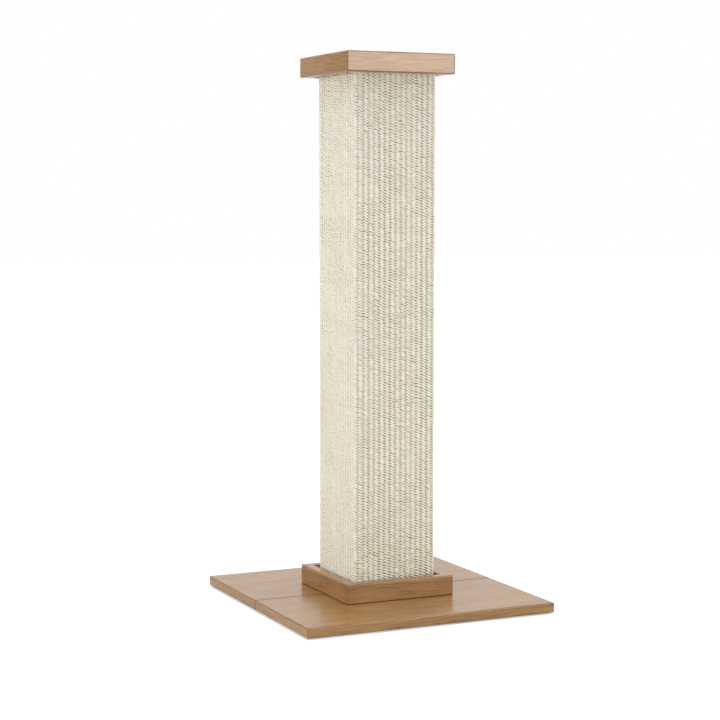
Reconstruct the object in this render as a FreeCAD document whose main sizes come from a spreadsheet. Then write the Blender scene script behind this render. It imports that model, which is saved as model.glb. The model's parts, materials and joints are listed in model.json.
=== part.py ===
import FreeCAD, Part
import math
import os

import Sketcher

# A free-standing scratching post: a base of two half boards, a square post wrapped in ribbed
# sisal, and the same mitred frame twice, as the collar round the post's foot and as its cap.
#
# Millimetres, +Z up. The origin is on the floor under the centre of the base. The joint between
# the half boards runs along X, and the front of the post looks along -Y.

DRIVING_SIZES = {
    # the whole post
    "overall_height": 830,
    "base_side": 400,
    # base boards and what holds them level
    "base_thickness": 15,
    "board_edge_radius": 2,
    "base_dowel_diameter": 6,
    "base_dowel_length": 30,
    "base_dowel_margin": 35,
    "base_dowel_pitch": 55,
    # feet under the boards
    "pad_height": 2,
    "pad_diameter": 22,
    "pad_inset": 30,
    # the post under its sisal
    "post_side": 136,
    "core_thickness": 12,
    "core_corner_radius": 2,
    "block_height": 45,
    # the sisal mat
    "mat_thickness": 5,
    "mat_setback": 2,
    "rib_pitch": 8.75,
    "rib_height": 1.2,
    "seam_gap": 0.6,
    # the mitred frame of the collar and of the cap, with the boards inside it
    "post_gap": 5,
    "rail_thickness": 15,
    "frame_height": 30,
    "frame_edge_radius": 2,
    "opening_edge_radius": 1,
    "backing_thickness": 12,
    "panel_thickness": 6,
    "panel_edge_radius": 1,
    "fit_clearance": 0.2,
    "frame_dowel_diameter": 6,
    "frame_dowel_depth": 10,
    "frame_dowel_cover": 5,
    "frame_dowel_margin": 28,
    # bolts that clamp the base, the collar and the post together
    "bolt_diameter": 6,
    "bolt_margin": 11,
    "bolt_hole_play": 0.6,
    "bolt_end_gap": 0.6,
    "bolt_head_diameter": 12,
    "bolt_head_height": 4,
    "bolt_head_recess": 0.4,
    "bolt_socket_width": 4,
    "bolt_socket_depth": 2.5,
    "washer_diameter": 18,
    "washer_play": 0.4,
    "washer_thickness": 1.6,
    "counterbore_play": 2,
    "insert_wall": 1.45,
    "insert_play": 0.1,
    "insert_length": 13,
    "insert_hole_relief": 3,
    # countersunk wood screws
    "screw_diameter": 3.5,
    "screw_length": 35,
    "screw_head_diameter": 7,
    "screw_head_height": 3,
    "screw_tip_diameter": 0.6,
    "screw_tip_length": 5,
    "core_screw_margin": 95,
    "core_screw_count": 5,
    "block_screw_margin": 31,
    "block_screw_setback": 13,
    "cap_screw_margin": 16,
    # flat-wire staples
    "staple_width": 10,
    "staple_wire": 1.2,
    "staple_leg": 10,
    "end_staple_margin": 28,
    "end_staple_setback": 8,
    "seam_staple_margin": 60,
    "seam_staple_count": 11,
}

# Widths that follow from the driving sizes, as expressions on the sheet.
CORE_SIDE = "(sizes.post_side - 2 * sizes.mat_thickness)"
CORE_INSIDE = f"({CORE_SIDE} - 2 * sizes.core_thickness)"
OPENING = "(sizes.post_side + 2 * sizes.post_gap)"
FRAME_SIDE = f"({OPENING} + 2 * sizes.rail_thickness)"
INFILL_SIDE = f"({OPENING} - 2 * sizes.fit_clearance)"
BOLT_SPACING = f"({CORE_INSIDE} - 2 * sizes.bolt_margin)"
BLOCK_SCREW_SPACING = f"({CORE_INSIDE} - 2 * sizes.block_screw_margin)"
CAP_SCREW_SPACING = f"({CORE_INSIDE} - 2 * sizes.cap_screw_margin)"
FRAME_DOWEL_SPACING = f"({OPENING} - 2 * sizes.frame_dowel_margin)"
BOLT_HOLE = "(sizes.bolt_diameter + sizes.bolt_hole_play)"
INSERT_BORE = "(sizes.bolt_diameter + sizes.insert_play)"
INSERT_DIAMETER = f"({INSERT_BORE} + 2 * sizes.insert_wall)"

# Heights above the floor, and lengths between them.
BASE_TOP = "(sizes.pad_height + sizes.base_thickness)"
POST_BOTTOM = f"({BASE_TOP} + sizes.backing_thickness)"
CAP_BOTTOM = "(sizes.overall_height - sizes.frame_height)"
PANEL_BOTTOM = "(sizes.overall_height - sizes.panel_thickness)"
POST_TOP = f"({PANEL_BOTTOM} - sizes.backing_thickness)"
POST_LENGTH = f"({POST_TOP} - {POST_BOTTOM})"
BOLT_BOTTOM = "(sizes.pad_height + sizes.bolt_head_recess)"
WASHER_BOTTOM = f"({BOLT_BOTTOM} + sizes.bolt_head_height)"
BOLT_TOP = f"({POST_BOTTOM} + sizes.insert_length - sizes.bolt_end_gap)"
FOOT_SCREW_LEVEL = f"({POST_BOTTOM} + sizes.block_height - sizes.block_screw_setback)"
HEAD_SCREW_LEVEL = f"({POST_TOP} - sizes.block_height + sizes.block_screw_setback)"

# Quarter turns about the post's axis that carry the front face to each side.
TURNS = {"front": 0, "right": 90, "rear": 180, "left": 270}
UP = FreeCAD.Vector(0, 0, 1)
ALONG_Y = FreeCAD.Rotation(UP, FreeCAD.Vector(0, 1, 0))

# How a sketch numbers its own axes and the points of a line or a circle.
SKETCH_X_AXIS, SKETCH_Y_AXIS = -1, -2
SKETCH_ORIGIN = (-1, 1)
START, END, CENTRE = 1, 2, 3

SAME_PLACE = 1e-4

doc = FreeCAD.newDocument("scratching_post")
sheet = doc.addObject("Spreadsheet::Sheet", "sizes")
nodes = []


def fill_sheet():
    """Writes each driving size to the sheet, with its name as the cell's alias."""
    for row, (name, value) in enumerate(DRIVING_SIZES.items(), start=1):
        sheet.set(f"A{row}", name)
        sheet.set(f"B{row}", str(value))
        sheet.setAlias(f"B{row}", name)
    doc.recompute()


def number(expression):
    """The value that an expression on the sheet has now."""
    return float(sheet.evalExpression(expression))


def bind(thing, **properties):
    """Ties properties to expressions on the sheet."""
    for name, expression in properties.items():
        thing.setExpression(name, expression)
    return thing


def place(thing, x="0", y="0", z="0", rotation=None):
    """Turns a thing about its own origin and ties its place to expressions."""
    thing.Placement = FreeCAD.Placement(FreeCAD.Vector(), rotation or FreeCAD.Rotation())
    for axis, expression in zip("xyz", (x, y, z)):
        thing.setExpression(f"Placement.Base.{axis}", expression)
    return thing


def turn_to(side):
    return FreeCAD.Rotation(UP, TURNS[side])


def place_on_side(thing, side, along, out, z, pointed=ALONG_Y):
    """Puts a thing on a side of the post, out from the post's axis and along that side. The turn
    that points it along +Y on the front points it inwards on every side."""
    x, y = {
        "front": (along, f"-({out})"),
        "right": (out, along),
        "rear": (f"-({along})", out),
        "left": (f"-({out})", f"-({along})"),
    }[side]
    return place(thing, x, y, z, turn_to(side) * pointed)


def corners_of(spacing):
    """The four corners of a square pattern about the post's axis."""
    half = f"{spacing} / 2"
    return [(f"{left}({half})", f"{front}({half})") for left in ("-", "") for front in ("-", "")]


def keep(thing, label):
    """Makes a thing a sub-part of the post, under its own name."""
    thing.Label = label
    nodes.append(thing)
    return thing


# Sketches and the features made from them ---------------------------------------------------


def new_body(name):
    return doc.addObject("PartDesign::Body", name)


def origin_feature(body, role):
    return next(feature for feature in body.Origin.OriginFeatures if feature.Role == role)


def new_sketch(body, name):
    """A sketch on the body's own XY plane."""
    sketch = body.newObject("Sketcher::SketchObject", f"{body.Name}_{name}")
    sketch.AttachmentSupport = [(origin_feature(body, "XY_Plane"), "")]
    sketch.MapMode = "FlatFace"
    return sketch


def hold(sketch, kind, first, second, expression):
    """Adds a dimension to a sketch and ties it to an expression."""
    index = sketch.addConstraint(Sketcher.Constraint(kind, *first, *second, number(expression)))
    sketch.setExpression(f"Constraints[{index}]", expression)


def pin_point(sketch, point, x, y):
    """Holds a sketch point at x and y, where "0" means on the axis."""
    for kind, expression, axis in (
        ("DistanceX", x, SKETCH_Y_AXIS),
        ("DistanceY", y, SKETCH_X_AXIS),
    ):
        if expression == "0":
            sketch.addConstraint(Sketcher.Constraint("PointOnObject", *point, axis))
        else:
            hold(sketch, kind, SKETCH_ORIGIN, point, expression)


def draw_outline(sketch, corners):
    """A closed outline of straight lines through corners given as pairs of expressions."""
    spots = [FreeCAD.Vector(number(x), number(y)) for x, y in corners]
    lines = [
        sketch.addGeometry(Part.LineSegment(start, end), False)
        for start, end in zip(spots, spots[1:] + spots[:1])
    ]
    for line, following in zip(lines, lines[1:] + lines[:1]):
        sketch.addConstraint(Sketcher.Constraint("Coincident", line, END, following, START))
    for line, (x, y) in zip(lines, corners):
        pin_point(sketch, (line, START), x, y)


def draw_rectangle(sketch, left, right, front, rear):
    draw_outline(sketch, [(left, front), (right, front), (right, rear), (left, rear)])


def draw_square(sketch, side):
    half = f"{side} / 2"
    draw_rectangle(sketch, f"-{half}", half, f"-{half}", half)


def draw_circles(sketch, centres, diameter):
    for x, y in centres:
        spot = FreeCAD.Vector(number(x), number(y))
        circle = sketch.addGeometry(Part.Circle(spot, UP, number(diameter) / 2), False)
        pin_point(sketch, (circle, CENTRE), x, y)
        index = sketch.addConstraint(Sketcher.Constraint("Diameter", circle, number(diameter)))
        sketch.setExpression(f"Constraints[{index}]", diameter)


def pad(body, sketch, height):
    feature = body.newObject("PartDesign::Pad", f"{sketch.Name}_pad")
    feature.Profile = sketch
    bind(feature, Length=height)
    sketch.Visibility = False
    doc.recompute()


def cut_up(body, sketch, depth=None):
    """Cuts a sketch upwards from the underside: right through, or to a depth."""
    before = body.Shape.Volume
    feature = body.newObject("PartDesign::Pocket", f"{sketch.Name}_pocket")
    feature.Profile = sketch
    feature.Reversed = True
    if depth is None:
        feature.Type = "ThroughAll"
    else:
        bind(feature, Length=depth)
    sketch.Visibility = False
    doc.recompute()
    if body.Shape.Volume >= before:
        raise RuntimeError(f"{feature.Name} cuts nothing")


def ease_edges(body, radius, wanted=None):
    """Rounds the edges that the test picks by their centre and direction, or every edge."""
    base = body.Tip
    feature = body.newObject("PartDesign::Fillet", f"{base.Name}_eased")
    if wanted is None:
        feature.Base = (base, [])
        feature.UseAllEdges = True
    else:
        numbered = enumerate(base.Shape.Edges, start=1)
        feature.Base = (base, [f"Edge{index}" for index, edge in numbered if wanted(edge)])
    bind(feature, Radius=radius)
    doc.recompute()


def is_level(edge):
    return edge.BoundBox.ZLength < SAME_PLACE


# Primitives and the joints cut with them ----------------------------------------------------


def cylinder(name, diameter, height, z="0"):
    thing = doc.addObject("Part::Cylinder", name)
    bind(thing, Radius=f"{diameter} / 2", Height=height)
    return place(thing, z=z)


def cone(name, low_diameter, high_diameter, height, z="0"):
    thing = doc.addObject("Part::Cone", name)
    bind(thing, Radius1=f"{low_diameter} / 2", Radius2=f"{high_diameter} / 2", Height=height)
    return place(thing, z=z)


def box(name, length, width, height, x, y, z):
    thing = doc.addObject("Part::Box", name)
    bind(thing, Length=length, Width=width, Height=height)
    return place(thing, x, y, z)


def fuse(name, pieces):
    thing = doc.addObject("Part::MultiFuse", name)
    thing.Shapes = pieces
    return thing


def cut(name, base, tool):
    thing = doc.addObject("Part::Cut", name)
    thing.Base = base
    thing.Tool = tool
    return thing


def group(name, pieces):
    thing = doc.addObject("Part::Compound", name)
    thing.Links = pieces
    return thing


def fitted(label, blank, *driven):
    """A blank with the holes that its driven dowels, screws and staples fill."""
    return keep(cut(label, blank, group(f"{label}_holes", list(driven))), label)


# Base -----------------------------------------------------------------------------------------


def pad_places():
    """Four feet under each half board, as far in from its joint as from its edges."""
    reach = "(sizes.base_side / 2 - sizes.pad_inset)"
    return [
        (f"{left}{reach}", f"{front}{inset}")
        for left in ("-", "")
        for front in ("-", "")
        for inset in (reach, "sizes.pad_inset")
    ]


def make_foot_pads():
    feet = []
    for index, (x, y) in enumerate(pad_places()):
        foot = cylinder(f"foot_{index}", "sizes.pad_diameter", "sizes.pad_height")
        feet.append(place(foot, x, y))
    keep(group("foot_pads", feet), "foot_pads")


def make_base_dowels():
    """Dowels across the joint, two on each side of the collar, half in each board."""
    outer = "(sizes.base_side / 2 - sizes.base_dowel_margin)"
    inner = f"({outer} - sizes.base_dowel_pitch)"
    level = "sizes.pad_height + sizes.base_thickness / 2"
    dowels = []
    for sign in ("-", ""):
        for reach in (inner, outer):
            dowel = cylinder(
                f"base_dowel_{len(dowels)}", "sizes.base_dowel_diameter", "sizes.base_dowel_length"
            )
            place(dowel, f"{sign}{reach}", "-sizes.base_dowel_length / 2", level, ALONG_Y)
            dowels.append(dowel)
    return keep(group("base_dowels", dowels), "base_dowels")


def make_base_board(side, dowels):
    """One half of the base, made for the rear of the joint and turned round for the front. The
    two bolts of each half sit in counterbores in its underside."""
    body = new_body(f"base_board_{side}_blank")
    outline = new_sketch(body, "outline")
    half = "sizes.base_side / 2"
    draw_rectangle(outline, f"-{half}", half, "0", half)
    pad(body, outline, "sizes.base_thickness")
    ease_edges(body, "sizes.board_edge_radius")
    reach = f"{BOLT_SPACING} / 2"
    bolts = [(f"{sign}{reach}", reach) for sign in ("-", "")]
    holes = new_sketch(body, "bolt_holes")
    draw_circles(holes, bolts, BOLT_HOLE)
    cut_up(body, holes)
    counterbores = new_sketch(body, "counterbores")
    draw_circles(counterbores, bolts, "(sizes.washer_diameter + sizes.counterbore_play)")
    cut_up(body, counterbores, f"{WASHER_BOTTOM} + sizes.washer_thickness - sizes.pad_height")
    place(body, z="sizes.pad_height", rotation=turn_to("rear" if side == "front" else "front"))
    fitted(f"base_board_{side}", body, dowels)


# Bolts ----------------------------------------------------------------------------------------


def make_bolt(index):
    """A pan-head bolt with a hexagon socket, standing on its head."""
    head = cylinder(f"bolt_{index}_head", "sizes.bolt_head_diameter", "sizes.bolt_head_height")
    shank = cylinder(
        f"bolt_{index}_shank",
        "sizes.bolt_diameter",
        f"{BOLT_TOP} - {WASHER_BOTTOM}",
        "sizes.bolt_head_height",
    )
    socket = doc.addObject("Part::Prism", f"bolt_{index}_socket")
    socket.Polygon = 6
    bind(
        socket,
        Circumradius="sizes.bolt_socket_width / sqrt(3)",
        Height="sizes.bolt_socket_depth",
    )
    return cut(f"bolt_{index}", fuse(f"bolt_{index}_solid", [head, shank]), socket)


def make_ring(name, outer, bore, height):
    return cut(name, cylinder(f"{name}_outer", outer, height), cylinder(f"{name}_bore", bore, height))


def make_bolt_sets():
    """Four bolts from the counterbores up through the collar's board, with a washer under each
    head and a threaded insert in the foot block above."""
    bolts, washers, inserts = [], [], []
    washer_bore = "(sizes.bolt_diameter + sizes.washer_play)"
    for index, (x, y) in enumerate(corners_of(BOLT_SPACING)):
        bolts.append(place(make_bolt(index), x, y, BOLT_BOTTOM))
        washer = make_ring(
            f"washer_{index}", "sizes.washer_diameter", washer_bore, "sizes.washer_thickness"
        )
        washers.append(place(washer, x, y, WASHER_BOTTOM))
        insert = make_ring(f"insert_{index}", INSERT_DIAMETER, INSERT_BORE, "sizes.insert_length")
        inserts.append(place(insert, x, y, POST_BOTTOM))
    keep(group("base_bolts", bolts), "base_bolts")
    keep(group("base_washers", washers), "base_washers")
    keep(group("threaded_inserts", inserts), "threaded_inserts")


# Collar and cap -------------------------------------------------------------------------------


def make_frame_dowels(frame, level):
    """Dowels from the rails into the edges of the board inside them, two to a rail."""
    dowels = []
    depth_in_rail = "(sizes.rail_thickness - sizes.frame_dowel_cover)"
    length = f"{depth_in_rail} + sizes.fit_clearance + sizes.frame_dowel_depth"
    out = f"{OPENING} / 2 + {depth_in_rail}"
    for side in TURNS:
        for sign in ("-", ""):
            dowel = cylinder(f"{frame}_dowel_{len(dowels)}", "sizes.frame_dowel_diameter", length)
            along = f"{sign}{FRAME_DOWEL_SPACING} / 2"
            dowels.append(place_on_side(dowel, side, along, out, level))
    return keep(group(f"{frame}_dowels", dowels), f"{frame}_dowels")


def make_rail(frame, side, bottom, dowels):
    """One mitred rail. The whole frame is made with its eased edges and its opening, and the
    mitres then cut away the other three sides."""
    body = new_body(f"{frame}_rail_{side}_blank")
    outline = new_sketch(body, "outline")
    draw_square(outline, FRAME_SIDE)
    pad(body, outline, "sizes.frame_height")
    ease_edges(body, "sizes.frame_edge_radius")
    opening = new_sketch(body, "opening")
    draw_square(opening, OPENING)
    cut_up(body, opening)
    reach = number(OPENING) / 2 + SAME_PLACE
    ease_edges(body, "sizes.opening_edge_radius", lambda edge: is_level(edge) and within(edge, reach))
    mitres = new_sketch(body, "mitres")
    far, back = FRAME_SIDE, f"-{FRAME_SIDE}"
    draw_outline(mitres, [("0", "0"), (far, back), (far, far), (back, far), (back, back)])
    cut_up(body, mitres)
    place(body, z=bottom, rotation=turn_to(side))
    fitted(f"{frame}_rail_{side}", body, dowels)


def within(edge, reach):
    """Whether an edge lies no further than this from the post's axis, along X and along Y."""
    centre = edge.CenterOfMass
    return max(abs(centre.x), abs(centre.y)) < reach


def make_infill(name, thickness):
    """A square board that drops into a frame with a little clearance."""
    body = new_body(name)
    outline = new_sketch(body, "outline")
    draw_square(outline, INFILL_SIDE)
    pad(body, outline, thickness)
    return body


def make_collar():
    """The frame round the post's foot. Its board lies on the base and carries the post."""
    dowels = make_frame_dowels("collar", f"{BASE_TOP} + sizes.backing_thickness / 2")
    for side in TURNS:
        make_rail("collar", side, BASE_TOP, dowels)
    body = make_infill("collar_backing_blank", "sizes.backing_thickness")
    holes = new_sketch(body, "bolt_holes")
    draw_circles(holes, corners_of(BOLT_SPACING), BOLT_HOLE)
    cut_up(body, holes)
    place(body, z=BASE_TOP)
    fitted("collar_backing_board", body, dowels)


def make_cap(screws):
    """The same frame on top. Its board is screwed down on the post, and a flush panel covers
    the screws."""
    dowels = make_frame_dowels("cap", f"{POST_TOP} + sizes.backing_thickness / 2")
    for side in TURNS:
        make_rail("cap", side, CAP_BOTTOM, dowels)
    board = make_infill("cap_backing_blank", "sizes.backing_thickness")
    place(board, z=POST_TOP)
    fitted("cap_backing_board", board, dowels, screws)
    panel = make_infill("cap_top_panel", "sizes.panel_thickness")
    top = number("sizes.panel_thickness") - SAME_PLACE
    ease_edges(panel, "sizes.panel_edge_radius", lambda edge: edge.CenterOfMass.z > top)
    keep(place(panel, z=PANEL_BOTTOM), "cap_top_panel")


# Screws and staples ---------------------------------------------------------------------------


def make_screw(name):
    """A countersunk wood screw with the flat of its head at the origin, pointing along +Z."""
    head = cone(
        f"{name}_head", "sizes.screw_head_diameter", "sizes.screw_diameter", "sizes.screw_head_height"
    )
    shank = cylinder(
        f"{name}_shank",
        "sizes.screw_diameter",
        "sizes.screw_length - sizes.screw_head_height - sizes.screw_tip_length",
        "sizes.screw_head_height",
    )
    tip = cone(
        f"{name}_tip",
        "sizes.screw_diameter",
        "sizes.screw_tip_diameter",
        "sizes.screw_tip_length",
        "sizes.screw_length - sizes.screw_tip_length",
    )
    return fuse(name, [head, shank, tip])


def make_side_screw(name, side, along, level):
    """A screw driven flush into a side of the core, straight towards the inside."""
    return place_on_side(make_screw(name), side, along, f"{CORE_SIDE} / 2", level)


def make_core_screws():
    """Rows of screws through the front and rear boards into the edges of the side boards."""
    screws = []
    count = round(number("sizes.core_screw_count"))
    along = f"({CORE_SIDE} / 2 - sizes.core_thickness / 2)"
    for side in ("front", "rear"):
        for sign in ("-", ""):
            for index in range(count):
                level = (
                    f"{POST_BOTTOM} + sizes.core_screw_margin"
                    f" + {index} * ({POST_LENGTH} - 2 * sizes.core_screw_margin) / {count - 1}"
                )
                name = f"core_screw_{len(screws)}"
                screws.append(make_side_screw(name, side, f"{sign}{along}", level))
    return keep(group("core_screws", screws), "core_screws")


def make_block_screws(block, level):
    """Two screws through each board of the core into an end block."""
    screws = []
    for side in TURNS:
        for sign in ("-", ""):
            name = f"{block}_screw_{len(screws)}"
            along = f"{sign}{BLOCK_SCREW_SPACING} / 2"
            screws.append(make_side_screw(name, side, along, level))
    return keep(group(f"{block}_screws", screws), f"{block}_screws")


def make_cap_screws():
    """Four screws down through the cap's board into the head block."""
    screws = []
    down = FreeCAD.Rotation(UP, FreeCAD.Vector(0, 0, -1))
    for index, (x, y) in enumerate(corners_of(CAP_SCREW_SPACING)):
        screws.append(place(make_screw(f"cap_screw_{index}"), x, y, PANEL_BOTTOM, down))
    return keep(group("cap_screws", screws), "cap_screws")


def make_staple(name, side, along, level):
    """A flat-wire staple pressed level with the ribs, its crown lying across them."""
    wire = "sizes.staple_wire"
    half = "sizes.staple_width / 2"
    low = f"-{wire} / 2"
    crown = box(f"{name}_crown", "sizes.staple_width", wire, wire, f"-{half}", "0", low)
    legs = [
        box(f"{name}_leg_{index}", wire, "sizes.staple_leg", wire, x, "0", low)
        for index, x in enumerate((f"-{half}", f"{half} - {wire}"))
    ]
    staple = fuse(name, [crown, *legs])
    return place_on_side(staple, side, along, "sizes.post_side / 2", level, FreeCAD.Rotation())


def make_end_staples(end, level):
    """Three staples on each side, where the frame hides them."""
    staples = []
    outer = "(sizes.post_side / 2 - sizes.end_staple_margin)"
    for side in TURNS:
        for along in (f"-{outer}", "0", outer):
            staples.append(make_staple(f"{end}_staple_{len(staples)}", side, along, level))
    return keep(group(f"{end}_staples", staples), f"{end}_staples")


def make_seam_staples():
    """A row of staples down the rear, across the seam of the mat."""
    count = round(number("sizes.seam_staple_count"))
    staples = []
    for index in range(count):
        level = (
            f"{POST_BOTTOM} + sizes.seam_staple_margin"
            f" + {index} * ({POST_LENGTH} - 2 * sizes.seam_staple_margin) / {count - 1}"
        )
        staples.append(make_staple(f"seam_staple_{index}", "rear", f"{-seam_offset()}", level))
    return keep(group("seam_staples", staples), "seam_staples")


# Post -----------------------------------------------------------------------------------------


def make_core_board(side, driven):
    """A board of the hollow core. The front and rear ones run the full width, and the other two
    stand between them."""
    full_width = side in ("front", "rear")
    half = f"{CORE_SIDE if full_width else CORE_INSIDE} / 2"
    body = new_body(f"core_board_{side}_blank")
    outline = new_sketch(body, "outline")
    face = f"-{CORE_SIDE} / 2"
    draw_rectangle(outline, f"-{half}", half, face, f"{face} + sizes.core_thickness")
    pad(body, outline, POST_LENGTH)
    if full_width:
        front = number(face) + SAME_PLACE
        ease_edges(
            body,
            "sizes.core_corner_radius",
            lambda edge: edge.CenterOfMass.y < front and not is_level(edge),
        )
    place(body, z=POST_BOTTOM, rotation=turn_to(side))
    fitted(f"core_board_{side}", body, *driven)


def make_end_block(name, bottom, driven, inserts=False):
    """A block that closes an end of the core and takes its screws or threaded inserts."""
    body = new_body(f"{name}_blank")
    outline = new_sketch(body, "outline")
    draw_square(outline, CORE_INSIDE)
    pad(body, outline, "sizes.block_height")
    if inserts:
        holes = new_sketch(body, "insert_holes")
        draw_circles(holes, corners_of(BOLT_SPACING), INSERT_DIAMETER)
        cut_up(body, holes, "sizes.insert_length + sizes.insert_hole_relief")
    place(body, z=bottom)
    fitted(name, body, *driven)


def rib_row():
    """How far the ribs of one side reach from its middle, their number, and the width of one."""
    corner_radius = "(sizes.core_corner_radius + sizes.mat_thickness)"
    reach = number(f"sizes.post_side / 2 - {corner_radius}")
    count = round(2 * reach / number("sizes.rib_pitch"))
    return reach, count, 2 * reach / count


def seam_offset():
    """Where the groove nearest the middle of a side lies."""
    reach, count, width = rib_row()
    return -reach + count // 2 * width


def ribbed_outline():
    """The outer edge of the mat's section: a row of rounded ribs on each side, and one rib round
    each corner."""
    crest = number("sizes.post_side / 2")
    groove = crest - number("sizes.rib_height")
    reach, count, width = rib_row()
    corner = reach + (crest - reach) * math.sqrt(0.5)
    edges = []
    for turn in TURNS.values():
        arcs = [
            ((left, -groove), (left + width / 2, -crest), (left + width, -groove))
            for left in (-reach + index * width for index in range(count))
        ]
        arcs.append(((reach, -groove), (corner, -corner), (groove, -reach)))
        for arc in arcs:
            points = [FreeCAD.Vector(x, y) for x, y in arc]
            edge = Part.Arc(*points).toShape()
            edge.rotate(FreeCAD.Vector(), UP, turn)
            edges.append(edge)
    return Part.Wire(edges)


def make_mat(staples):
    """The sisal mat: a ribbed tube round the core, butted in one seam at the rear."""
    length = number(f"{POST_LENGTH} - 2 * sizes.mat_setback")
    core = number(CORE_SIDE)
    gap = number("sizes.seam_gap")
    outer = Part.Face(ribbed_outline()).extrude(UP * length)
    inner = Part.makeBox(core, core, length, FreeCAD.Vector(-core / 2, -core / 2, 0))
    upright = [edge for edge in inner.Edges if not is_level(edge)]
    inner = inner.makeFillet(number("sizes.core_corner_radius"), upright)
    seam_start = FreeCAD.Vector(seam_offset() - gap / 2, 0, 0)
    seam = Part.makeBox(gap, number("sizes.post_side"), length, seam_start)
    blank = doc.addObject("Part::Feature", "sisal_mat_blank")
    blank.Shape = outer.cut([inner, seam])
    place(blank, z=f"{POST_BOTTOM} + sizes.mat_setback")
    fitted("sisal_mat", blank, *staples)


def make_post():
    core_screws = make_core_screws()
    foot_screws = make_block_screws("foot_block", FOOT_SCREW_LEVEL)
    head_screws = make_block_screws("head_block", HEAD_SCREW_LEVEL)
    cap_screws = make_cap_screws()
    staples = [
        make_end_staples("foot", f"{POST_BOTTOM} + sizes.mat_setback + sizes.end_staple_setback"),
        make_end_staples("head", f"{POST_TOP} - sizes.mat_setback - sizes.end_staple_setback"),
        make_seam_staples(),
    ]
    for side in TURNS:
        make_core_board(side, [core_screws, foot_screws, head_screws, *staples])
    make_end_block("foot_block", POST_BOTTOM, [foot_screws], inserts=True)
    make_end_block("head_block", f"{POST_TOP} - sizes.block_height", [head_screws, cap_screws])
    make_mat(staples)
    return cap_screws


def check_document():
    """Stops at the first object that failed, and at a sub-part with no sound shape."""
    doc.recompute()
    for thing in doc.Objects:
        if {"Invalid", "Error"} & set(thing.State):
            raise RuntimeError(f"{thing.Label} failed: {thing.State}")
    for node in nodes:
        if node.Shape.isNull() or not node.Shape.isValid() or not node.Shape.Solids:
            raise RuntimeError(f"{node.Label} has no sound shape")


def write_nodes():
    os.makedirs("parts", exist_ok=True)
    for node in nodes:
        node.Shape.exportStep(f"parts/{node.Label}.step")
        print(f"{node.Label}: {len(node.Shape.Solids)} solids, {node.Shape.Volume:.0f} mm3")


fill_sheet()
make_foot_pads()
base_dowels = make_base_dowels()
for base_side in ("front", "rear"):
    make_base_board(base_side, base_dowels)
make_bolt_sets()
make_collar()
make_cap(make_post())
check_document()
write_nodes()
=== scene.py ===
"""A square scratching post: laminated base, collar and cap, and a post wrapped in ribbed sisal."""

import json
import math

import bmesh
import bpy
import numpy as np
from bpy.props import FloatProperty, FloatVectorProperty, IntProperty, PointerProperty
from mathutils import Matrix, Vector

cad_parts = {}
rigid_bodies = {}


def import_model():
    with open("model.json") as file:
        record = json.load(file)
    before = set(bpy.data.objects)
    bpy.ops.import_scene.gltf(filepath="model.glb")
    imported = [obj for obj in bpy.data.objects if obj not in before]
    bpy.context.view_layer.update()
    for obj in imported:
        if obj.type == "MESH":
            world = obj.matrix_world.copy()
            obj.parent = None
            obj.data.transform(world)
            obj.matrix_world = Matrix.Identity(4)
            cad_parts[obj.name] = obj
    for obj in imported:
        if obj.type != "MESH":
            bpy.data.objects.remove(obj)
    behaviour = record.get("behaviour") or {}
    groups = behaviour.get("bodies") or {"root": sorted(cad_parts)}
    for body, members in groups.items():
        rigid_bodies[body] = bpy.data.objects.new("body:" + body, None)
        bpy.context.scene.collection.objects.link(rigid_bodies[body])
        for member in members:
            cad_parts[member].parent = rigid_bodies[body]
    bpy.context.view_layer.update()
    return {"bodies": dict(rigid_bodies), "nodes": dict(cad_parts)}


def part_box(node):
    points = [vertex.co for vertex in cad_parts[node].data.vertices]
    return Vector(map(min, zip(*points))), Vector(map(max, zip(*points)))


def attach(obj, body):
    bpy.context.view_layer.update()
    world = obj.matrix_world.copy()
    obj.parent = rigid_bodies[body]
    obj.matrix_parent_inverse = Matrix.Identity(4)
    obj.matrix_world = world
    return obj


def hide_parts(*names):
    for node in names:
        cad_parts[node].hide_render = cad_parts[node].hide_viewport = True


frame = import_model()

bl_info = {
    "name": "Sisal Scratching Post",
    "version": (1, 0, 0),
    "blender": (4, 5, 0),
    "location": "View3D > Sidebar > Scratching Post",
    "description": "Wraps the post in ribbed sisal yarn, finishes its boards and sets up the studio",
    "category": "Object",
}

MM = 0.001
BODY = next(iter(frame["bodies"]))

# The mat, from the space that it fills on the core.
MAT_LOW, MAT_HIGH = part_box("sisal_mat")
_, CORE_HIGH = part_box("core_board_front")
POST_HALF = MAT_HIGH.x
CORE_HALF = CORE_HIGH.x
CORNER_RADIUS = 7 * MM
FLAT_HALF = POST_HALF - CORNER_RADIUS
RIBS_PER_SIDE = 14
RIB_WIDTH = 2 * FLAT_HALF / RIBS_PER_SIDE

# Quarter turns about the post's axis that carry the front to each side.
TURNS = {"front": 0, "right": 1, "rear": 2, "left": 3}


# Sizes, colours and lights that a user may change ------------------------------------------------


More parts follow.
